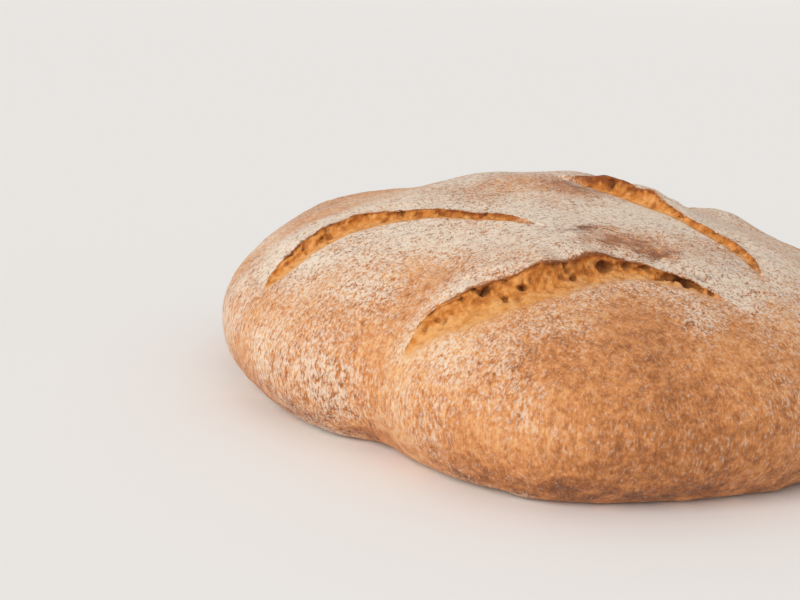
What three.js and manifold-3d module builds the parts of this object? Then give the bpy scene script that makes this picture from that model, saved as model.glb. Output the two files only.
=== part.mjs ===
// A slightly oval sourdough loaf, one baked piece: a flat base, a side that bulges out over the
// base, a low dome, and slashes that tore open in the oven and left a raised lip along one side.
// The loaf's long axis is Y, X is its width and Z is up. The base rests on Z = 0, and the origin
// is under the middle of the loaf's bounding box.
import * as THREE from "three";
import { mergeVertices } from "three/addons/utils/BufferGeometryUtils.js";
import Module from "manifold-3d";

// Driving dimensions, in millimetres.
const LENGTH = 258; // along Y, before the lobes swell the outline
const WIDTH = 224; // along X, before the lobes swell the outline
const HEIGHT = 70; // of the plain dome, before the crown lifts it
const BULGE_HEIGHT = 20; // where the side stands out furthest
const UNDERCUT = 19; // how far the flat base's edge lies inside the outline
const CROWN_LIFT = 3; // how far the crown rises above the plain dome
const CROWN_REACH = 60; // how far from its middle the crown fades out
const OPENING = 14; // width of a slash at its middle
const CUT_DEPTH = 7; // depth of a slash at its middle
const LIP_LIFT = 4; // how far the crust stands up along a slash's lip
const LIP_REACH = 24; // how far behind the lip the crust comes down again

// Form of the dome: 2 is an ellipse, and a smaller number makes the top more pointed.
const DOME_POWER = 1.9;
// How far a slash's floor leans down towards its lip, as a share of its depth.
const FLOOR_LEAN = 0.35;

// Where the dough spread more or less than an oval. "swell" is a share of the outline's radius.
const LOBES = [
  { name: "front_lobe", direction: 236, spread: 17, swell: 0.07 },
  { name: "waist", direction: 207, spread: 9, swell: -0.06 },
  { name: "back_lobe", direction: 62, spread: 24, swell: 0.03 },
  { name: "east_waist", direction: 18, spread: 13, swell: -0.03 },
];

// The crown's middle and the slashes' routes, in shares of the half width and half length.
// Each slash's lip is on its left as the route runs.
const CROWN = [-0.1, 0.02];
const SLASHES = [
  { name: "west_slash", route: [[-0.9, 0.09], [-0.71, 0.07], [-0.48, -0.1], [-0.3, -0.34]] },
  { name: "front_slash", route: [[-0.82, -0.46], [-0.68, -0.53], [-0.4, -0.6], [-0.1, -0.74]] },
  { name: "crown_slash", route: [[0.03, 0.03], [0.12, -0.16], [0.18, -0.44], [0.13, -0.68]] },
  { name: "back_slash", route: [[0.16, 0.66], [0.38, 0.58], [0.58, 0.36], [0.66, 0.1]] },
];

// How finely the faceted solid follows the form.
const SIDES_AROUND = 90;
const STEPS_UNDER = 5;
const STEPS_DOME = 24;
const GOUGE_SIDES = 12;
const GOUGE_STATIONS = 24;
const ROUTE_SAMPLES = 80;

const HALF_WIDTH = WIDTH / 2;
const HALF_LENGTH = LENGTH / 2;
const MEAN_RADIUS = (HALF_WIDTH + HALF_LENGTH) / 2;
const UP = new THREE.Vector3(0, 0, 1);

// Distance from the axis to the outline in a direction, given in radians from +X.
function outlineRadius(angle) {
  const oval = 1 / Math.hypot(Math.cos(angle) / HALF_WIDTH, Math.sin(angle) / HALF_LENGTH);
  const swell = LOBES.reduce((sum, lobe) => {
    const away = THREE.MathUtils.radToDeg(angle) - lobe.direction;
    const turn = THREE.MathUtils.euclideanModulo(away + 180, 360) - 180;
    return sum + lobe.swell * Math.exp(-((turn / lobe.spread) ** 2));
  }, 0);
  return oval * (1 + swell);
}

// Extra height of the crown over the plain dome at a place in plan.
function crownLift(x, y) {
  const away = Math.hypot(x - CROWN[0] * HALF_WIDTH, y - CROWN[1] * HALF_LENGTH);
  return CROWN_LIFT * Math.exp(-((away / CROWN_REACH) ** 2));
}

// Height of the unslashed dome at a place in plan.
function domeHeight(x, y) {
  const share = Math.min(1, Math.hypot(x, y) / outlineRadius(Math.atan2(y, x)));
  const rise = Math.sqrt(1 - share ** DOME_POWER);
  return BULGE_HEIGHT + (HEIGHT - BULGE_HEIGHT) * rise + crownLift(x, y);
}

// The dome's outward normal, from the slope over a millimetre each way.
function domeNormal(x, y) {
  const slopeX = (domeHeight(x + 1, y) - domeHeight(x - 1, y)) / 2;
  const slopeY = (domeHeight(x, y + 1) - domeHeight(x, y - 1)) / 2;
  return new THREE.Vector3(-slopeX, -slopeY, 1).normalize();
}

// A slash is open widest at its middle and closes at both ends.
function openness(along) {
  return Math.sqrt(Math.max(Math.sin(Math.PI * along), 0.02));
}

// A slash's route on the dome: a list of stations, each with its place, the dome's normal and
// the direction across the slash towards its lip.
function routeStations(route, count) {
  const curve = new THREE.CatmullRomCurve3(
    route.map(([x, y]) => new THREE.Vector3(x * HALF_WIDTH, y * HALF_LENGTH, 0)),
  );
  return Array.from({ length: count + 1 }, (_, i) => {
    const flat = curve.getPointAt(i / count);
    const along = curve.getTangentAt(i / count);
    const normal = domeNormal(flat.x, flat.y);
    const place = new THREE.Vector3(flat.x, flat.y, domeHeight(flat.x, flat.y));
    const across = new THREE.Vector3().crossVectors(UP, along);
    across.addScaledVector(normal, -across.dot(normal)).normalize();
    return { share: i / count, place, normal, across };
  });
}

// Profile of the loaf at the mean radius, from the base's middle out to the bulge and up.
function loafProfile() {
  const under = Array.from({ length: STEPS_UNDER + 1 }, (_, i) => {
    const turn = (i / STEPS_UNDER) * (Math.PI / 2);
    return new THREE.Vector2(
      MEAN_RADIUS - UNDERCUT * (1 - Math.sin(turn)),
      BULGE_HEIGHT * (1 - Math.cos(turn)),
    );
  });
  const dome = Array.from({ length: STEPS_DOME }, (_, i) => {
    const turn = ((i + 1) / STEPS_DOME) * (Math.PI / 2);
    const share = i + 1 === STEPS_DOME ? 0 : Math.cos(turn) ** (2 / DOME_POWER);
    return new THREE.Vector2(
      MEAN_RADIUS * share,
      BULGE_HEIGHT + (HEIGHT - BULGE_HEIGHT) * Math.sin(turn),
    );
  });
  return [new THREE.Vector2(0, 0), ...under, ...dome];
}

// Moves a vertex of the turned profile out to the loaf's own outline, and lifts the crown.
function toLoafForm(v) {
  const radius = Math.hypot(v.x, v.y);
  if (radius > 1e-6) {
    const outline = outlineRadius(Math.atan2(v.y, v.x));
    const underside = v.z < BULGE_HEIGHT && v.z > 0;
    const wanted = underside
      ? outline - (MEAN_RADIUS - radius)
      : (outline * radius) / MEAN_RADIUS;
    v.x *= wanted / radius;
    v.y *= wanted / radius;
  }
  if (v.z > BULGE_HEIGHT) v.z += crownLift(v.x, v.y);
  return v;
}

// Lifts the crust behind a slash's lip: it rises across the opening, which the slash then
// clears away, and comes down again behind the lip and past the slash's ends.
function liftLip(v, stations) {
  const nearest = stations.reduce((best, station) =>
    v.distanceToSquared(station.place) < v.distanceToSquared(best.place) ? station : best,
  );
  const offset = v.clone().sub(nearest.place);
  const behind = offset.dot(nearest.across);
  const beyondEnd = Math.sqrt(Math.max(0, offset.lengthSq() - behind ** 2));
  const rise = THREE.MathUtils.smoothstep(behind, -OPENING / 2, OPENING / 2);
  const fade = Math.exp(-(((Math.abs(behind) + beyondEnd) / LIP_REACH) ** 2));
  const lift = LIP_LIFT * openness(nearest.share) * rise * fade;
  return v.addScaledVector(nearest.normal, lift);
}

// A mesh that Manifold accepts: shared vertices merged, with nothing but positions.
function toSolid(wasm, geometry) {
  geometry.deleteAttribute("normal");
  geometry.deleteAttribute("uv");
  const merged = mergeVertices(geometry, 1e-4);
  const triVerts = new Uint32Array(merged.index.array);
  const vertProperties = new Float32Array(merged.getAttribute("position").array);
  return new wasm.Manifold(new wasm.Mesh({ numProp: 3, vertProperties, triVerts }));
}

// Applies move to every vertex of a geometry.
function moveVertices(geometry, move) {
  const positions = geometry.getAttribute("position");
  const v = new THREE.Vector3();
  for (let i = 0; i < positions.count; i++) {
    move(v.fromBufferAttribute(positions, i));
    positions.setXYZ(i, v.x, v.y, v.z);
  }
  return geometry;
}

// The whole loaf before it is slashed, with the lips already lifted.
function makeDough(routes) {
  const turned = new THREE.LatheGeometry(loafProfile(), SIDES_AROUND);
  turned.rotateX(Math.PI / 2);
  return moveVertices(turned, (v) => {
    toLoafForm(v);
    if (v.z > BULGE_HEIGHT) routes.forEach((stations) => liftLip(v, stations));
  });
}

// The space that one slash opened: a round bar of unit radius, bent along the route and
// flattened to the slash's width and depth. Its outer half keeps the full width, so that it
// clears the lifted crust.
function makeGouge(stations) {
  const bar = new THREE.CylinderGeometry(1, 1, 1, GOUGE_SIDES, stations.length - 1);
  return moveVertices(bar, (v) => {
    const station = stations[Math.round((0.5 - v.y) * (stations.length - 1))];
    const open = openness(station.share);
    const outer = v.z > 0 && Math.abs(v.x) > 0.1;
    const across = (outer ? Math.sign(v.x) : v.x) * (OPENING / 2) * open;
    const down = (v.z - FLOOR_LEAN * v.x) * CUT_DEPTH * open;
    v.copy(station.place);
    v.addScaledVector(station.across, across).addScaledVector(station.normal, down);
  });
}

// Turns a Manifold solid back into a geometry.
function toGeometry(solid) {
  const mesh = solid.getMesh();
  const geometry = new THREE.BufferGeometry();
  geometry.setAttribute("position", new THREE.BufferAttribute(mesh.vertProperties, 3));
  geometry.setIndex(new THREE.BufferAttribute(mesh.triVerts, 1));
  geometry.computeVertexNormals();
  return geometry;
}

const wasm = await Module();
wasm.setup();

const dough = makeDough(SLASHES.map(({ route }) => routeStations(route, ROUTE_SAMPLES)));
let loafSolid = toSolid(wasm, dough);
for (const { route } of SLASHES) {
  const gouge = toSolid(wasm, makeGouge(routeStations(route, GOUGE_STATIONS)));
  loafSolid = loafSolid.subtract(gouge);
}

// The origin is under the middle of the finished loaf's box.
const loafGeometry = toGeometry(loafSolid);
loafGeometry.computeBoundingBox();
const middle = loafGeometry.boundingBox.getCenter(new THREE.Vector3());
loafGeometry.translate(-middle.x, -middle.y, -loafGeometry.boundingBox.min.z);

const crust = new THREE.MeshStandardMaterial({ color: 0xc68f5e, roughness: 0.85, metalness: 0 });
const loafMesh = new THREE.Mesh(loafGeometry, crust);
loafMesh.name = "loaf";

const sourdoughLoaf = new THREE.Group();
sourdoughLoaf.add(loafMesh);

export default sourdoughLoaf;
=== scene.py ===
# %% [markdown]
# # A country sourdough loaf
#
# The object is one loaf of bread: dough that was proved in a floured basket, tipped out, slashed
# with a blade and baked on a hot stone. The form comes from the oven: a flat base, a side that
# swelled out over it, a low dome, and slashes that tore open and left a lip standing up.
#
# The frame is loaded first. It says how big the loaf is and where it stands, and everything
# below takes its size from it.

# %% Load the frame
import random
from math import cos, pi, radians, sin

import bmesh
import bpy
import numpy as np
from mathutils import Matrix, Vector, kdtree, noise


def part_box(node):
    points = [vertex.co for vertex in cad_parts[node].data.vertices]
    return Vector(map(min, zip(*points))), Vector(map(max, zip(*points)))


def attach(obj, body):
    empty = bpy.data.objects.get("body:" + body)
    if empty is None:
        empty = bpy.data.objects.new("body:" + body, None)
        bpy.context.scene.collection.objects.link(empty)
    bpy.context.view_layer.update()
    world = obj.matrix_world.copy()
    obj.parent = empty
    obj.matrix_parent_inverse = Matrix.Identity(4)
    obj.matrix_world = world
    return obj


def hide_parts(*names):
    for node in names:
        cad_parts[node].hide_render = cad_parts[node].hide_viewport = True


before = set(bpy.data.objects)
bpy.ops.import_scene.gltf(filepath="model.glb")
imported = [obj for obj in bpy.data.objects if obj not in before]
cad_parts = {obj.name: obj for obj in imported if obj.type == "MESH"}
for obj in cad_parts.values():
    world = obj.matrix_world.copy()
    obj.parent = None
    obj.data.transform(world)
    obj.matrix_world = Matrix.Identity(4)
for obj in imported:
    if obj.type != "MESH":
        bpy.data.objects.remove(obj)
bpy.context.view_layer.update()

MM = 0.001  # the loaf is shaped in millimetres and written in metres
lowest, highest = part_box("loaf")
HALF_WIDTH = (highest.x - lowest.x) / 2 / MM
HALF_LENGTH = (highest.y - lowest.y) / 2 / MM
LOAF_HEIGHT = (highest.z - lowest.z) / MM
print(f"loaf {2 * HALF_WIDTH:.1f} x {2 * HALF_LENGTH:.1f} x {LOAF_HEIGHT:.1f} mm")

# %% [markdown]
# ## The camera
#
# A loaf looks largest from close by and low down. The camera stands about a third of a metre
# from its near side and 6 cm above its top, and looks down a little. A camera that is aimed with
# three turns, in this order, can be read like a tripod's head: swing, tilt, level.

# %% Camera
CAMERA_PLACE = Vector((-0.2690, -0.3818, 0.133))
CAMERA_SWING = radians(-28.7)  # to the right of straight ahead
CAMERA_TILT = radians(12.8)  # below the horizon
CAMERA_LEAN = radians(2.09)  # the right side of the view sinks
LENS_MM = 60.75
SENSOR_MM = 36

camera = bpy.data.objects.new("camera", bpy.data.cameras.new("camera"))
camera.data.lens = LENS_MM
camera.data.sensor_width = SENSOR_MM
camera.data.clip_start = 0.01  # m
camera.matrix_world = (
    Matrix.Translation(CAMERA_PLACE)
    @ Matrix.Rotation(CAMERA_SWING, 4, "Z")
    @ Matrix.Rotation(pi / 2 - CAMERA_TILT, 4, "X")
    @ Matrix.Rotation(CAMERA_LEAN, 4, "Z")
)
bpy.context.scene.collection.objects.link(camera)
bpy.context.scene.camera = camera
print(f"camera {CAMERA_PLACE.length:.2f} m from the middle of the loaf's base, {LENS_MM} mm lens")

# %% [markdown]
# ## The loaf's form
#
# Seen from above, the loaf is an oval that spread a little more in some directions than in
# others. Each difference is a smooth hump on the outline's radius, so that the outline needs no
# list of points. Seen from the side it is a dome over a rounded, undercut edge over a flat base.

# %% The outline from above
LOBES = [  # direction from +X in degrees, spread in degrees, swell as a share of the radius
    (236, 17, 0.07),  # the front lobe
    (207, 9, -0.06),  # the waist beside it
    (62, 24, 0.03),
    (18, 13, -0.03),
]


def fade_out(distance, reach):
    """1 at no distance, falling smoothly to almost nothing at twice the reach."""
    return np.exp(-((distance / reach) ** 2))


def outline_radius(angle):
    """Distance from the middle to the loaf's outline, in mm, for angles in radians."""
    oval = 1 / np.hypot(np.cos(angle) / HALF_WIDTH, np.sin(angle) / HALF_LENGTH)
    swell = 0.0
    for direction, spread, amount in LOBES:
        away = (np.degrees(angle) - direction + 180) % 360 - 180
        swell = swell + amount * fade_out(away, spread)
    return oval * (1 + swell)


print(f"the front lobe reaches {outline_radius(radians(LOBES[0][0])):.0f} mm from the middle")

# %% The outline from the side
BULGE_HEIGHT = 20.0  # mm, where the side stands out furthest
UNDERCUT = 19.0  # mm, how far the base's edge lies inside the outline
DOME_POWER = 1.9  # 2 is an ellipse, less is more pointed
LIP_ALLOWANCE = 4.5  # mm that the humps and the lips add to the plain dome
DOME_TOP = LOAF_HEIGHT - LIP_ALLOWANCE
HUMPS = [  # where hands left the dough higher or lower, in mm: x, y, reach, height
    (-14, 12, 48, 3.2), (-14, 62, 20, -3.0), (-52, 86, 34, 2.6), (56, -14, 38, -3.6),
    (-92, 18, 26, 1.6), (30, -70, 40, -1.2), (77, 1, 17, 5.0), (57, 10, 14, -3.4),
    (-31, 46, 14, -1.6), (19, 14, 12, 3.2),
]
HUMPS_FULL = BULGE_HEIGHT + 12  # mm, the height above which a hump has its whole strength
MEAN_RADIUS = (HALF_WIDTH + HALF_LENGTH) / 2
PROFILE_STEPS = 1200


def ramp_up(value, start, full):
    """0 up to start, then rising evenly to 1 at full, and 1 past it."""
    return np.clip((value - start) / (full - start), 0, 1)


def hump_lift(x, y):
    """How far the humps raise a place in plan, in mm."""
    return sum(
        height * fade_out(np.hypot(x - at_x, y - at_y), reach)
        for at_x, at_y, reach, height in HUMPS
    )


def dome_height(x, y):
    """Height of the unslashed dome over a place in plan, in mm."""
    share = np.minimum(1, np.hypot(x, y) / outline_radius(np.arctan2(y, x)))
    rise = np.sqrt(1 - share**DOME_POWER)
    return BULGE_HEIGHT + (DOME_TOP - BULGE_HEIGHT) * rise + hump_lift(x, y)


def side_profile():
    """Radius and height from the crown, over the bulge and under to the base's middle."""
    turn = np.linspace(pi / 2, 0, PROFILE_STEPS)
    over = (
        MEAN_RADIUS * np.cos(turn) ** (2 / DOME_POWER),
        BULGE_HEIGHT + (DOME_TOP - BULGE_HEIGHT) * np.sin(turn),
    )
    under = (MEAN_RADIUS - UNDERCUT * (1 - np.sin(turn)), BULGE_HEIGHT * (1 - np.cos(turn)))
    radius = np.concatenate([over[0], under[0][1:], [0.0]])
    height = np.concatenate([over[1], under[1][1:], [0.0]])
    return radius, height


profile_radius, profile_height = side_profile()
steps = np.hypot(np.diff(profile_radius), np.diff(profile_height))
profile_length = np.concatenate([[0.0], np.cumsum(steps)])
BASE_STARTS = profile_length[-2] / profile_length[-1]
print(f"crown to base's middle {profile_length[-1]:.0f} mm along the surface")


def plain_form(directions):
    """Turns directions from a ball's middle into places on the unslashed loaf, in mm."""
    x, y, z = directions.T
    angle = np.arctan2(y, x)
    down = np.arctan2(np.hypot(x, y), z) / pi * profile_length[-1]
    radius = np.interp(down, profile_length, profile_radius)
    height = np.interp(down, profile_length, profile_height)
    outline = outline_radius(angle)
    above = outline * radius / MEAN_RADIUS
    below = outline - (MEAN_RADIUS - radius)
    on_base = (outline - UNDERCUT) * radius / (MEAN_RADIUS - UNDERCUT)
    is_base = down > profile_length[-2]
    reach = np.where(height > BULGE_HEIGHT, above, np.where(is_base, on_base, below))
    place = np.column_stack([reach * np.cos(angle), reach * np.sin(angle), height])
    place[:, 2] += hump_lift(place[:, 0], place[:, 1]) * ramp_up(height, BULGE_HEIGHT, HUMPS_FULL)
    return place


# %% [markdown]
# ## The slashes' routes
#
# A baker's blade leaves a shallow cut under one edge of the skin. In the oven the near edge
# stays down, the dough wells up in the gap, and the far edge lifts away as a thin lip, the ear.
# Each route below is the near edge, and the lip lies on the left as the route runs. Every station
# has its place in plan, how wide the slash opened there, and how far the lip stands up.

# %% Routes, in mm: x, y, opening, lift
SLASHES = {
    "west": [
        (-105, 11, 0, 0), (-102, 9, 6.5, 0.5), (-98, 7, 8.5, 1.2), (-88, 5, 9.5, 2.2),
        (-73, 2, 8, 2.0), (-57, -13, 5, 1.1), (-43, -31, 3.6, 0.8), (-34, -48, 0, 0),
    ],
    "front": [
        (-92, -59, 0, 0), (-89, -64, 8, 0.3), (-84, -69, 12, 1.2), (-77, -75, 13, 2.4),
        (-67, -79, 12.5, 3.8), (-54, -82, 10.5, 5.0), (-40, -81.5, 9.5, 4.0),
        (-29, -84, 7.5, 1.8), (-21, -89.5, 5.5, 1.0), (-14, -95.5, 3.6, 0.5), (-6, -102, 0, 0),
    ],
    "crown": [
        (1, 5, 0, 0), (6, -8, 3, 3.8), (9, -22, 6.8, 5.2), (11, -35, 6.8, 3.0), (15, -47, 5, 1.1),
        (17, -59, 4.6, 1.3), (17, -75, 4, 1.2), (12, -93, 0, 0),
    ],
    "back": [
        (16, 84, 0, 0), (32, 76, 8, 3), (50, 61, 12, 5), (63, 41, 11, 3.6),
        (69, 22, 6, 1.4), (71, 6, 0, 0),
    ],
}
STATIONS = 300  # along each route
NO_OPENING = 0.01  # mm at a slash's ends, just over nothing, because shares divide by it


def smooth_route(points):
    """A Catmull-Rom curve through the stations, with as many columns as they have."""
    p = np.array(points, float)
    p = np.vstack([2 * p[0] - p[1], p, 2 * p[-1] - p[-2]])
    run = np.linspace(0, len(points) - 1, STATIONS)
    i = np.minimum(run.astype(int), len(points) - 2)
    t = (run - i)[:, None]
    a, b, c, d = p[i], p[i + 1], p[i + 2], p[i + 3]
    return 0.5 * (
        2 * b + (c - a) * t + (2 * a - 5 * b + 4 * c - d) * t**2
        + (3 * b - a - 3 * c + d) * t**3
    )


def lay_route(points):
    """Puts a route on the dome: places, directions across and up, opening, lift, run in mm."""
    route = smooth_route(points)
    x, y = route[:, 0], route[:, 1]
    place = np.column_stack([x, y, dome_height(x, y)])
    along = np.gradient(place, axis=0)
    along /= np.linalg.norm(along, axis=1)[:, None]
    slope_x = (dome_height(x + 1, y) - dome_height(x - 1, y)) / 2
    slope_y = (dome_height(x, y + 1) - dome_height(x, y - 1)) / 2
    up = np.column_stack([-slope_x, -slope_y, np.ones_like(x)])
    up /= np.linalg.norm(up, axis=1)[:, None]
    across = np.cross(up, along)
    run = np.concatenate([[0], np.cumsum(np.linalg.norm(np.diff(place, axis=0), axis=1))])
    return {
        "place": place, "along": along, "across": across, "up": up, "run": run,
        "opening": np.maximum(route[:, 2], NO_OPENING), "lift": np.maximum(route[:, 3], 0),
    }


routes = {name: lay_route(points) for name, points in SLASHES.items()}
for name, route in routes.items():
    print(f"{name} slash {route['run'][-1]:.0f} mm long, opened {route['opening'].max():.1f} mm")


def beside_route(points, route):
    """For each point: the nearest station, how far across it lies and how far past an end."""
    tree = kdtree.KDTree(STATIONS)
    for i, place in enumerate(route["place"]):
        tree.insert(place, i)
    tree.balance()
    near = np.array([tree.find(p)[1] for p in points])
    offset = points - route["place"][near]
    across = (offset * route["across"][near]).sum(1)
    along = (offset * route["along"][near]).sum(1)
    at_end = (near == 0) | (near == STATIONS - 1)
    return near, across, np.where(at_end, np.abs(along), 0)


# %% [markdown]
# ## A ball of quads
#
# A globe of rings would crowd its faces at the crown, and relief there would look pinched. A cube
# cut into squares and blown up to a ball has nearly even faces all over, so the loaf starts as
# that. The faces over the base stay large, the crust's are cut once more, those round the
# slashes twice and those on the torn walls three times, because that is where the crumb shows.

# %% Start the dough as a ball
CUTS = 57  # per edge of the cube
dough = bmesh.new()
bmesh.ops.create_cube(dough, size=2)
bmesh.ops.subdivide_edges(dough, edges=dough.edges, cuts=CUTS, use_grid_fill=True)
for v in dough.verts:
    v.co = Vector([np.tan(c * pi / 4) for c in v.co]).normalized()  # the tangent evens the faces
print(f"{len(dough.faces)} faces on the ball")


# %% Cut the faces finer where the surface needs it
SLASHES_ABOVE = -0.1  # no slash reaches lower on the ball than this height


def verts_array(values):
    """An array with one row for each vector."""
    return np.array([tuple(value) for value in values])


def cut_faces(faces):
    """Cuts each face in four and brings the new corners out to the ball."""
    edges = list({edge for face in faces for edge in face.edges})
    bmesh.ops.subdivide_edges(dough, edges=edges, cuts=1, use_grid_fill=True)
    for v in dough.verts:
        v.co.normalize()


def faces_near_slashes(low, high, margin):
    """Faces between the shares low and high of a slash's opening, or within margin mm."""
    faces = [f for f in dough.faces if f.calc_center_median().z > SLASHES_ABOVE]
    centres = plain_form(verts_array(f.calc_center_median() for f in faces))
    wanted = np.zeros(len(faces), bool)
    for route in routes.values():
        near, across, beyond = beside_route(centres, route)
        opening = route["opening"][near]
        inside = (across > low * opening - margin) & (across < high * opening + margin)
        wanted |= inside & (beyond < margin)
    return [f for f, take in zip(faces, wanted) if take]


SIDE_ENDS = cos(pi * BASE_STARTS)  # the ball's height where the base starts
cut_faces([f for f in dough.faces if f.calc_center_median().z > SIDE_ENDS])
cut_faces(faces_near_slashes(0, 1, 2.0))  # each slash and 2 mm round it
cut_faces(faces_near_slashes(0.45, 1.05, 0.3))  # its wall and the lip's edge
bmesh.ops.triangulate(dough, faces=dough.faces)
dough.verts.ensure_lookup_table()
print(f"{len(dough.faces)} triangles after cutting")

# %% [markdown]
# ## Swelling and tearing
#
# Everything that the oven did is a move of the ball's vertices, as a sculptor's brush would do
# it. First the ball takes the plain form, with the soft unevenness of hand-shaped dough. Then
# each slash opens: the strip of skin inside the opening becomes the torn crumb. Its section runs
# from the near edge down a gentle floor, then up a steep wall to a lip that leans back over it.

# %% The plain form, a little uneven
directions = verts_array(v.co for v in dough.verts)
plain = plain_form(directions)


def lumps(points, size, seed=0.0):
    """Smooth noise from -1 to 1 with lumps of about size mm."""
    shift = Vector((seed, seed * 1.7, seed * 2.3))
    return np.array([noise.noise(Vector(p / size) + shift) for p in points])


def layered(points, layers):
    """Sums lumps of several sizes, each given as its height, its size in mm and its seed."""
    return sum(height * lumps(points, size, seed) for height, size, seed in layers)


def write_places(points):
    """Moves the dough's vertices and gives their new outward directions."""
    for v, place in zip(dough.verts, points):
        v.co = place
    dough.normal_update()
    return verts_array(v.normal for v in dough.verts)


OFF_BASE = 6.0  # mm above the base, where the unevenness has its whole strength
out = write_places(plain)
off_base = ramp_up(plain[:, 2], 0, OFF_BASE)
swell = layered(plain, [(0.9, 30, 3.1), (0.45, 13, 7.7)])
shaped = plain + out * (swell * off_base)[:, None]

# %% The foot, a ragged rim where the dough first spread on the stone
FOOT_HEIGHT = 3.0  # mm
FOOT_SPREAD = 0.02  # how far it stands out, as a share of the radius
foot = fade_out(plain[:, 2], FOOT_HEIGHT)
raggedness = np.clip(0.7 + 0.9 * lumps(plain, 9, 2.9), 0, 1.4)
shaped[:, :2] *= 1 + (FOOT_SPREAD * foot * raggedness)[:, None]
print(f"the foot stands out {FOOT_SPREAD * raggedness.max() * MEAN_RADIUS:.1f} mm at most")

# %% The section of a slash
# Share of the opening before, share after, how deep, how lifted.
SECTION = np.array([
    (-0.25, -0.25, 0.00, 0.00), (0.00, 0.00, 0.00, 0.00), (0.07, 0.06, 0.40, 0.00),
    (0.35, 0.40, 0.80, 0.02), (0.50, 0.62, 1.00, 0.06), (0.62, 0.75, 0.80, 0.22),
    (0.78, 0.86, 0.40, 0.55), (0.90, 0.92, 0.10, 0.84), (0.97, 0.93, 0.00, 0.98),
    (1.03, 0.95, 0.00, 1.06), (1.12, 1.06, 0.00, 1.05), (1.35, 1.35, 0.00, 1.00),
])
FLOOR_DEPTH = 0.11  # as a share of the opening
LIP_REACH = 18.0  # mm behind the lip over which the lift fades
LIP_WAVE = 0.4  # how unevenly a lip stands up, as a share of its lift
END_FADE = 5.0  # mm past a slash's end over which it closes
PAST_END = 1.0  # mm past a slash's end that still count as in it
EDGE_MARGIN = 3.0  # mm beside a slash where its edges still wander
FULLY_RAGGED = 8.0  # mm of opening from which the edges wander most
# Half the width, in mm, over which crust turns to crumb at the near edge.
NEAR_EDGE_BLEND = {"west": 0.5, "front": 2.0, "crown": 1.0, "back": 1.0}
CRUMB_OPENING = (1, 3)  # mm of opening where crumb begins to show and where all of it shows
CRUMB_ENDS = 0.99  # share of the opening where the lip's crust begins
WALL_SHARES = (0.36, 0.61)  # share of the opening where the floor turns up into the wall
STRAND_SIZE = (5.0, 1.2)  # mm along and across a slash
LIP_LINE = 0.9  # mm, half the width of the lip's browned edge
BROWNED_LIFT = 2.5  # mm of lift from which a lip's edge is fully browned
LIP_FLOUR_REACH = 12.0  # mm behind the lip over which its thicker flour fades
print(f"the floor of the widest slash is {FLOOR_DEPTH * routes['front']['opening'].max():.1f} mm deep")

# %% Open the slashes
crumb = np.zeros(len(shaped))
lip = np.zeros(len(shaped))
behind_lip = np.zeros(len(shaped))
wall = np.zeros(len(shaped))
strands = np.zeros(len(shaped))
slash_places = {}
for seed, (name, route) in enumerate(routes.items()):
    near, across, beyond = beside_route(plain, route)
    opening, lift = route["opening"][near], route["lift"][near]

    # The edges wander a little, most in a wide slash.
    wander = layered(plain, [(0.9, 5, seed + 0.3), (0.55, 1.9, seed + 0.6)])
    wander *= fade_out(across - opening / 2, opening / 2 + EDGE_MARGIN)
    across_ragged = across + wander * np.minimum(opening / FULLY_RAGGED, 1)
    share = across_ragged / opening

    # The skin moves sideways, down and up as the section says.
    fade = fade_out(beyond, END_FADE)
    moved = np.interp(share, SECTION[:, 0], SECTION[:, 1])
    depth = np.interp(share, SECTION[:, 0], SECTION[:, 2]) * opening * FLOOR_DEPTH
    raised = np.interp(share, SECTION[:, 0], SECTION[:, 3]) * lift
    behind = np.maximum(across - SECTION[-1, 0] * opening, 0)
    raised *= fade_out(behind, LIP_REACH) * (1 + LIP_WAVE * lumps(plain, 7, seed + 0.9))
    in_section = (share > SECTION[0, 0]) & (share < SECTION[-1, 0])
    sideways = np.where(in_section, (moved - share) * opening, 0)
    shaped += (sideways * fade)[:, None] * route["across"][near]
    shaped += ((raised - depth) * fade)[:, None] * route["up"][near]

    # What the skin has become: crumb, its wall, its strands, the lip's edge and what is behind.
    open_enough = ramp_up(opening, *CRUMB_OPENING) * (beyond < PAST_END)
    blend = NEAR_EDGE_BLEND[name]
    crumb_here = open_enough * ramp_up(across_ragged, -blend, blend) * (share < CRUMB_ENDS)
    crumb = np.maximum(crumb, crumb_here)
    wall = np.maximum(wall, crumb_here * ramp_up(share, *WALL_SHARES))
    strand_along = route["run"][near] / STRAND_SIZE[0]
    strand_across = across_ragged / STRAND_SIZE[1]
    strand_grid = np.column_stack([strand_along, strand_across, np.full(len(near), seed)])
    strands += crumb_here * lumps(strand_grid, 1)
    edge_line = fade_out((share - 1) * opening, LIP_LINE) * ramp_up(lift, 0, BROWNED_LIFT)
    lip = np.maximum(lip, open_enough * edge_line)
    floured = np.where(share > 1, np.exp(-behind / LIP_FLOUR_REACH) * fade, 0)
    behind_lip = np.maximum(behind_lip, floured)
    slash_places[name] = (near, share, opening, beyond)
    print(f"{name} slash shows crumb on {np.count_nonzero(crumb_here)} vertices")

# %% Tear holes in the crumb
random.seed(11)
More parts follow.
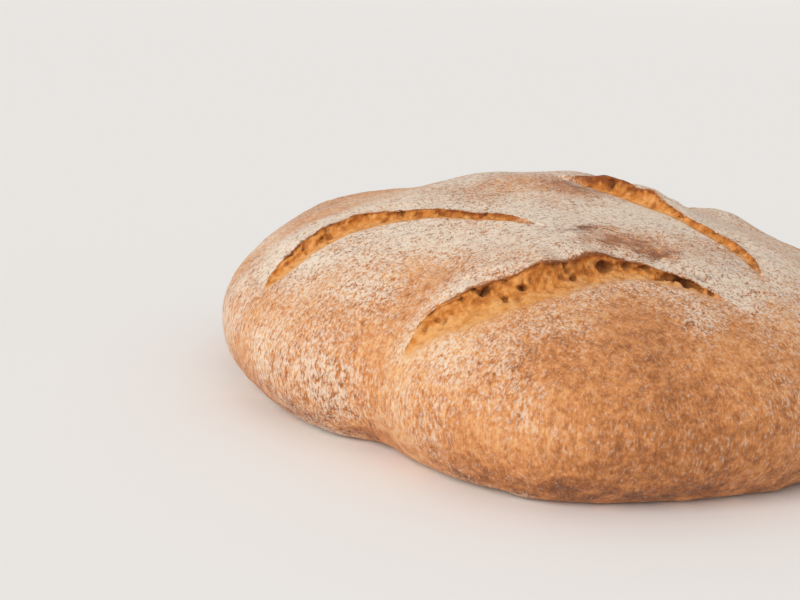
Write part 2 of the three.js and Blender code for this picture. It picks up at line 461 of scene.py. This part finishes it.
# The large holes: slash, mm along the route, share across, half length, half width, depth in mm.
HOLES = [
    ("front", 32, 0.80, 2.8, 1.3, 3.0), ("front", 43, 0.60, 1.6, 1.1, 2.2),
    ("front", 61, 0.52, 1.2, 0.8, 1.6), ("front", 70, 0.68, 3.0, 1.4, 2.8),
    ("front", 79, 0.80, 1.5, 0.8, 1.6), ("front", 89, 0.72, 7.0, 1.3, 2.8),
    ("front", 37, 0.50, 1.0, 0.7, 1.2), ("front", 75, 0.76, 1.3, 0.9, 1.6),
    ("front", 83, 0.55, 1.2, 0.8, 1.5), ("front", 94, 2.00, 2.2, 1.5, 2.6),
    ("front", 22, 0.85, 1.6, 0.7, 1.2), ("front", 39, 0.88, 1.2, 0.6, 1.0),
    ("front", 10, 0.60, 1.0, 0.8, 1.0), ("front", 15, 0.32, 1.1, 0.8, 1.0),
    ("crown", 22, 0.80, 1.6, 1.0, 2.0), ("west", 20, 0.7, 0.8, 0.6, 1.0),
    ("back", 40, 0.78, 2.4, 1.1, 2.6), ("back", 60, 0.7, 1.4, 0.9, 1.6),
]
SMALL_HOLES = 34  # in each slash, at random places
HOLES_FROM = 1.5  # mm of opening, and holes fit only where a slash is wider
for name, route in routes.items():
    for _ in range(SMALL_HOLES):
        along_mm = random.uniform(0.12, 0.92) * route["run"][-1]
        half = random.uniform(0.45, 1.0)
        HOLES.append((name, along_mm, random.uniform(0.3, 0.95), half * 1.3, half, half))

out = write_places(shaped)
# The hole mask is painted shade: the material lays a dark brown into each hole, more where the hole is
# deeper.
painted_hole_shade = np.zeros(len(shaped))
for name, along_mm, share_at, half_length, half_width, depth in HOLES:
    near, share, opening, beyond = slash_places[name]
    run = routes[name]["run"][near]
    away = np.hypot((run - along_mm) / half_length, (share - share_at) * opening / half_width)
    inside = np.clip(1 - away**2, 0, 1) * (beyond < PAST_END) * (opening > HOLES_FROM)
    shaped -= out * (depth * inside**0.7)[:, None]
    painted_hole_shade = np.maximum(painted_hole_shade, inside * min(1, depth / 2))
print(f"{len(HOLES)} holes in the crumb")

# %% Roughen the crumb and wrinkle the crust
out = write_places(shaped)
STONE_REACH = 10.0  # mm above the base over which the stone's heat and roughness fade
torn = layered(shaped, [(0.5, 3.2, 1.1), (0.4, 1.5, 2.2)]) + 0.7 * strands
torn *= 0.45 + 0.85 * wall  # the wall is rougher than the floor
wrinkled = 0.16 * lumps(plain * (1, 1, 0.45), 4.5, 5.5)  # taller than wide, as stretched skin is
wrinkled += 0.1 * lumps(plain * (1, 1, 0.5), 2.3, 6.6)
near_stone = fade_out(plain[:, 2], STONE_REACH)
wrinkled += near_stone * layered(plain, [(0.7, 8, 1.4), (0.3, 3.5, 2.4)])
relief = torn * crumb + wrinkled * off_base * (1 - crumb)
shaped = shaped + out * relief[:, None]
shaped[:, 2] = np.maximum(shaped[:, 2], 0)
write_places(shaped)
low, high = shaped.min(0), shaped.max(0)
print("shaped box in mm", np.round(low, 1), np.round(high, 1))

# %% [markdown]
# ## Where the flour and the colour lie
#
# Flour from the basket stays thickest on the crown and behind the lips. The front lobe was
# stretched most while it rose, so its flour broke up, and a few places were brushed nearly bare.
# The oven browned what stands up, such as the lips, and the ring near the stone. Some shade is
# painted in too: part of the darkening on the slashes' walls under the lips, and all of the dark
# in the crumb's holes. These masks ride on the mesh as attributes, which the material reads. Each
# number before a term below says how much of the mask, from 0 to 1, that term gives or takes.

# %% Where the flour lies
x, y, z = plain.T


def spots(places):
    """Soft spots on the crust, each given in mm as x, y, reach in x and reach in y."""
    return sum(
        fade_out(x - at_x, wide) * fade_out(y - at_y, deep)
        for at_x, at_y, wide, deep in places
    )


crown_flour = ramp_up(z, 38, 64)
front_lobe = spots([(-45, -118, 55, 32)])

# Brushed bare, in patches about 3 mm across.
bare = spots([(-22, -64, 13, 6.5), (-15, -74, 9, 5), (-26, -53, 9, 3)])
bare += 0.55 * spots([(1, -13, 14, 12)])
bare *= 1 + 0.9 * lumps(plain, 3, 3.3)

# Thinner: on the far shoulder, the crown, the waist, the front lobe and low on the side.
thin = 1.2 * spots([(-45, 50, 45, 24), (-24, -2, 16, 12), (-5, -12, 12, 18)])
thin += spots([(-79, -48, 15, 11), (-42, -106, 20, 10)])
thin += 0.85 * (1 - ramp_up(z, 0, 24))

# Thicker: on the lobe, the west side and between the crown's slash and the front one.
thick = 0.3 * spots([(-24, -105, 9, 7)]) + 0.25 * spots([(-100, 45, 22, 40)])
thick += 0.06 * spots([(-99, -46, 9, 12)]) + 0.15 * spots([(2, -50, 13, 12)])

flour = 0.36 + 0.36 * crown_flour + 0.2 * behind_lip + thick
flour -= 0.42 * front_lobe + 0.55 * bare + 0.36 * thin
flour += layered(plain, [(0.28, 22, 4.4), (0.15, 9, 8.8)])
flour += foot * (0.5 + 0.35 * lumps(plain, 6, 7.1))

# %% Where the oven browned it, with painted shade on the slashes' walls
# Browner on the front lobe, paler beside the waist and along the crown's slash.
browned = spots([(-42, -106, 24, 14)])
pale = spots([(-88, -64, 9, 7), (-99, -52, 9, 12), (14, -34, 9, 14)])
bake_and_wall_shade = 0.38 + 0.2 * lumps(plain, 26, 9.9) - 0.12 * pale
bake_and_wall_shade += 0.42 * bare + 0.14 * front_lobe + 0.13 * browned
stone_marks = np.clip(0.6 + 1.4 * lumps(plain, 5, 5.1), 0, 1)
bake_and_wall_shade += 0.5 * near_stone * (1 - foot) * stone_marks

# In the slashes: darker on the wall, partly its own browner crumb and partly painted shade from
# the lip over it; darker where they are narrow, paler at the west slash's end.
crumb_bake_and_wall_shade = 0.27 + 0.24 * wall + 0.38 * lumps(shaped, 2.2, 6.1) - 0.18 * pale
crumb_bake_and_wall_shade += 0.2 * spots([(-45, -26, 22, 22), (4, -8, 12, 14)])
crumb_bake_and_wall_shade -= 0.16 * spots([(-90, 8, 18, 14)])
bake_and_wall_shade = bake_and_wall_shade * (1 - crumb) + crumb_bake_and_wall_shade * crumb + 0.5 * lip

# %% Masks on the vertices
masks = {
    "crumb": crumb,
    "flour": np.clip(flour * (1 - lip), 0, 1),
    "bake_and_wall_shade": np.clip(bake_and_wall_shade, 0, 1),
    "painted_hole_shade": np.clip(painted_hole_shade, 0, 1),
}
for name, values in masks.items():
    layer = dough.verts.layers.float.new(name)
    for v, value in zip(dough.verts, values):
        v[layer] = value
    print(f"{name} covers {values.mean():.0%}")

# %% Lay the surface out flat
TOP_DISC = (0.37, 0.37, 0.36)  # middle and radius in the flat layout
BASE_DISC = (0.87, 0.87, 0.12)
TOP_SPAN = pi * BASE_STARTS + 0.05  # radians down the ball to the disc's edge, with some to spare
BASE_SPAN = pi * (1 - BASE_STARTS)
BASE_TOP = SIDE_ENDS + 0.01  # on the ball, a little over the base's edge, to take in its ring
flat = dough.loops.layers.uv.new("OFBake")
for face in dough.faces:
    on_base = all(directions[v.index][2] <= BASE_TOP for v in face.verts)
    middle_x, middle_y, radius = BASE_DISC if on_base else TOP_DISC
    for loop in face.loops:
        d = directions[loop.vert.index]
        down = np.arctan2(np.hypot(d[0], d[1]), -d[2] if on_base else d[2])
        reach = radius * down / (BASE_SPAN if on_base else TOP_SPAN)
        turn = np.arctan2(d[1], d[0])
        loop[flat].uv = (middle_x + reach * cos(turn), middle_y + reach * sin(turn))
print(f"{len(dough.faces)} triangles laid out on two discs")

# %% Turn the dough into an object
for v in dough.verts:
    v.co *= MM
bmesh.ops.recalc_face_normals(dough, faces=dough.faces)
for face in dough.faces:
    face.smooth = True
loaf_mesh = bpy.data.meshes.new("baked_loaf")
dough.to_mesh(loaf_mesh)
dough.free()
baked_loaf = bpy.data.objects.new("baked_loaf", loaf_mesh)
bpy.context.scene.collection.objects.link(baked_loaf)
print(f"{len(loaf_mesh.polygons)} triangles in the loaf")

# %% [markdown]
# ## The crust, flour and crumb
#
# Three things meet on one skin. The crust is starch and sugar browned by the oven: golden to
# chestnut, with a faint dry sheen. The flour on it is a matt, off-white powder that cracked as
# the loaf rose, so the crust shows through in lines and flecks about a millimetre wide. The
# crumb is the torn inside, golden and rough. One material holds all three, because the
# boundaries between them are part of how bread looks.

# %% Colours and nodes
def srgb(code):
    """Linear colour from an sRGB hex code."""
    channels = [int(code[i : i + 2], 16) / 255 for i in (1, 3, 5)]
    linear = [c / 12.92 if c <= 0.04045 else ((c + 0.055) / 1.055) ** 2.4 for c in channels]
    return (*linear, 1.0)


def add_node(tree, kind, inputs=None, **settings):
    """Adds a node, makes its settings, and fills its inputs with values or with links."""
    node = tree.nodes.new(kind)
    for name, value in settings.items():
        setattr(node, name, value)
    for socket, value in (inputs or {}).items():
        if isinstance(value, bpy.types.NodeSocket):
            tree.links.new(value, node.inputs[socket])
        else:
            node.inputs[socket].default_value = value
    return node


def per_metre(size_mm):
    """Scale of a pattern whose features are size_mm across."""
    return 1 / (size_mm * MM)


# %% Baked crust: Maillard-browned starch under cracked flour, with torn crumb in the slashes
crust = bpy.data.materials.new("floured_sourdough_crust")
crust.use_nodes = True
tree = crust.node_tree
tree.nodes.clear()
place = add_node(tree, "ShaderNodeTexCoord").outputs["Object"]
stretched = add_node(
    tree, "ShaderNodeMapping", {"Vector": place, "Scale": (1, 1, 0.5)}
).outputs["Vector"]
mask = {
    name: add_node(tree, "ShaderNodeAttribute", attribute_name=name).outputs["Fac"]
    for name in masks
}

# %% Flour on the crust
# A fine speckle with longer squiggles, since the skin stretched upward as it rose. Real flour's
# grains are about a tenth of a millimetre, too fine to show, so the speckle is drawn at 0.7 mm.
speckle = add_node(
    tree, "ShaderNodeTexNoise",
    {"Vector": stretched, "Scale": per_metre(0.7), "Detail": 2, "Roughness": 0.6},
).outputs["Fac"]
squiggles = add_node(
    tree, "ShaderNodeTexNoise",
    {"Vector": stretched, "Scale": per_metre(1.6), "Detail": 3, "Roughness": 0.6, "Distortion": 0.6},
).outputs["Fac"]
powder = add_node(
    tree, "ShaderNodeMix", {"Factor": 0.36, "A": speckle, "B": squiggles}
).outputs["Result"]
patches = add_node(
    tree, "ShaderNodeTexNoise",
    {"Vector": place, "Scale": per_metre(7), "Detail": 3, "Roughness": 0.6},
).outputs["Fac"]
cover = add_node(
    tree, "ShaderNodeMath", {0: patches, 1: 0.42, 2: mask["flour"]}, operation="MULTIPLY_ADD"
).outputs[0]
threshold = add_node(
    tree, "ShaderNodeMapRange",
    {"Value": cover, "From Min": 0.16, "From Max": 1.16, "To Min": 0.62, "To Max": 0.37},
).outputs["Result"]
above = add_node(
    tree, "ShaderNodeMath", {0: powder, 1: threshold}, operation="SUBTRACT"
).outputs[0]
flecked = add_node(
    tree, "ShaderNodeMapRange",
    {"Value": above, "From Min": -0.1, "From Max": 0.1, "To Min": 0.06, "To Max": 0.88},
    interpolation_type="SMOOTHSTEP",
).outputs["Result"]

# %% Fine cracks in the flour
# The floured skin dried first and broke into scales about 2 mm across.
drift = add_node(
    tree, "ShaderNodeTexNoise", {"Vector": stretched, "Scale": per_metre(1.5), "Detail": 2}
).outputs["Color"]
wandering = add_node(
    tree, "ShaderNodeVectorMath",
    {0: drift, 1: (3 * MM,) * 3, 2: stretched}, operation="MULTIPLY_ADD",
).outputs["Vector"]
to_crack = add_node(
    tree, "ShaderNodeTexVoronoi", {"Vector": wandering, "Scale": per_metre(2)},
    feature="DISTANCE_TO_EDGE",
).outputs["Distance"]
cracked = add_node(
    tree, "ShaderNodeMapRange", {"Value": to_crack, "From Max": 0.16, "To Min": 1, "To Max": 0}
).outputs["Result"]
gaping = add_node(
    tree, "ShaderNodeMapRange",
    {"Value": squiggles, "From Min": 0.62, "From Max": 0.42, "To Max": mask["flour"]},
).outputs["Result"]
crack_depth = add_node(
    tree, "ShaderNodeMath", {0: cracked, 1: gaping}, operation="MULTIPLY"
).outputs[0]
unbroken = add_node(
    tree, "ShaderNodeMath", {0: crack_depth, 1: -0.45, 2: flecked}, operation="MULTIPLY_ADD",
    use_clamp=True,
).outputs[0]
thickness = add_node(
    tree, "ShaderNodeMapRange", {"Value": mask["flour"], "From Max": 0.7, "To Min": 0.4}
).outputs["Result"]
dusted = add_node(
    tree, "ShaderNodeMath", {0: unbroken, 1: thickness}, operation="MULTIPLY"
).outputs[0]

# %% Browned crust
# From golden to chestnut by how strongly the oven took it, with pits under a millimetre.
pitted = add_node(
    tree, "ShaderNodeTexNoise",
    {"Vector": stretched, "Scale": per_metre(0.9), "Detail": 4, "Roughness": 0.6},
).outputs["Fac"]
mottle = add_node(
    tree, "ShaderNodeTexNoise",
    {"Vector": place, "Scale": per_metre(2.8), "Detail": 5, "Roughness": 0.65},
).outputs["Fac"]
# The bake mask also carries the painted shade on the slashes' walls. The crumb's colour takes that
# shade from this value.
browning_and_wall_shade = add_node(
    tree, "ShaderNodeMath", {0: mottle, 1: 1.1, 2: mask["bake_and_wall_shade"]}, operation="MULTIPLY_ADD"
).outputs[0]
browning_and_wall_shade = add_node(
    tree, "ShaderNodeMath", {0: pitted, 1: 0.8, 2: browning_and_wall_shade}, operation="MULTIPLY_ADD"
).outputs[0]
browning_and_wall_shade = add_node(
    tree, "ShaderNodeMath", {0: browning_and_wall_shade, 1: 0.99}, operation="SUBTRACT"
).outputs[0]
scorched = add_node(
    tree, "ShaderNodeMath", {0: crack_depth, 1: 0.6, 2: browning_and_wall_shade}, operation="MULTIPLY_ADD"
).outputs[0]
crust_colour = add_node(tree, "ShaderNodeValToRGB", {"Fac": scorched})
ramp = crust_colour.color_ramp
ramp.elements[0].position, ramp.elements[0].color = 0.08, srgb("#E2AC74")
ramp.elements[1].position, ramp.elements[1].color = 0.95, srgb("#74401C")
for position, code in [(0.4, "#C98248"), (0.66, "#A2602C")]:
    ramp.elements.new(position).color = srgb(code)

# %% Torn crumb
# Golden where it is shallow, darker on the wall, partly browner crumb and partly painted shade
# from the lip over it. The holes get painted shade, laid on where the colours join.
crumb_colour = add_node(tree, "ShaderNodeValToRGB", {"Fac": browning_and_wall_shade})
ramp = crumb_colour.color_ramp
ramp.elements[0].position, ramp.elements[0].color = 0.1, srgb("#E0A260")
ramp.elements[1].position, ramp.elements[1].color = 0.9, srgb("#8A4A1E")
ramp.elements.new(0.45).color = srgb("#C98038")

# %% Join flour, crust and crumb in one surface
floured = add_node(
    tree, "ShaderNodeMix",
    {0: dusted, 6: crust_colour.outputs["Color"], 7: srgb("#E6D8C5")}, data_type="RGBA",
).outputs[2]
skin = add_node(
    tree, "ShaderNodeMix",
    {0: mask["crumb"], 6: floured, 7: crumb_colour.outputs["Color"]}, data_type="RGBA",
).outputs[2]
# Painted shade in the crumb's holes: the hole mask lays a dark brown over them.
colour = add_node(
    tree, "ShaderNodeMix", {0: mask["painted_hole_shade"], 6: skin, 7: srgb("#6A3A16")}, data_type="RGBA",
).outputs[2]

roughness = add_node(
    tree, "ShaderNodeMapRange", {"Value": dusted, "To Min": 0.62, "To Max": 0.95}
).outputs["Result"]
height = add_node(
    tree, "ShaderNodeMath", {0: dusted, 1: 0.6, 2: pitted}, operation="MULTIPLY_ADD"
).outputs[0]
bumped = add_node(
    tree, "ShaderNodeBump", {"Height": height, "Strength": 0.6, "Distance": 0.5 * MM}
).outputs["Normal"]
surface = add_node(
    tree, "ShaderNodeBsdfPrincipled",
    {"Base Color": colour, "Roughness": roughness, "Normal": bumped, "IOR": 1.45,
     "Specular IOR Level": 0.2, "Sheen Weight": 0.05, "Sheen Roughness": 0.6},
)
add_node(tree, "ShaderNodeOutputMaterial", {"Surface": surface.outputs["BSDF"]})
loaf_mesh.materials.append(crust)
print(f"{len(tree.nodes)} nodes in {crust.name}")

# %% [markdown]
# ## Into the frame
#
# The loaf is one baked piece, so it rides on the frame's one body and stands in for its one plain
# solid.

# %% Put the loaf in the frame
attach(baked_loaf, "root")
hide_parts("loaf")
print(f"{baked_loaf.name} stands in for the plain loaf")

# %% [markdown]
# ## Floor and light
#
# The loaf stands on a plain pale floor. The soft light of a large window comes over the
# camera's left shoulder, and a white room fills the shadows.

# %% A pale floor
FLOOR_SIZE = 40.0  # m
FLAT_TO = 3.0  # m from the middle, and further out the floor sweeps up past the horizon
SWEEP = 0.005
floor_form = bmesh.new()
bmesh.ops.create_grid(floor_form, x_segments=40, y_segments=40, size=FLOOR_SIZE / 2)
for v in floor_form.verts:
    v.co.z = SWEEP * max(0, v.co.length - FLAT_TO) ** 2
floor_mesh = bpy.data.meshes.new("floor")
floor_form.to_mesh(floor_mesh)
floor_form.free()
floor = bpy.data.objects.new("floor", floor_mesh)
bpy.context.scene.collection.objects.link(floor)
# Matt white paint, which shows soft shadows and no reflection.
paint = bpy.data.materials.new("matt_white_paint")
paint.use_nodes = True
matt = paint.node_tree.nodes["Principled BSDF"].inputs
matt["Base Color"].default_value = srgb("#F2EFEB")
matt["Roughness"].default_value = 0.9
floor_mesh.materials.append(paint)
print(f"floor {FLOOR_SIZE:.0f} m wide")

# %% Soft light
TOWARDS_WINDOW = Vector((-1.0, -0.4, 0.6))
window = bpy.data.lights.new("window", "SUN")
window.energy = 2.0
window.angle = radians(50)
window_lamp = bpy.data.objects.new("window", window)
window_lamp.matrix_world = TOWARDS_WINDOW.to_track_quat("Z", "Y").to_matrix().to_4x4()
bpy.context.scene.collection.objects.link(window_lamp)
world = bpy.data.worlds.new("white_room")
world.use_nodes = True
white = world.node_tree.nodes["Background"].inputs
white["Color"].default_value = srgb("#FFFFFF")
white["Strength"].default_value = 0.6
bpy.context.scene.world = world
bpy.context.scene.view_settings.view_transform = "Standard"
print(f"{window_lamp.name} lamp of {window.energy:.0f} W per square metre")
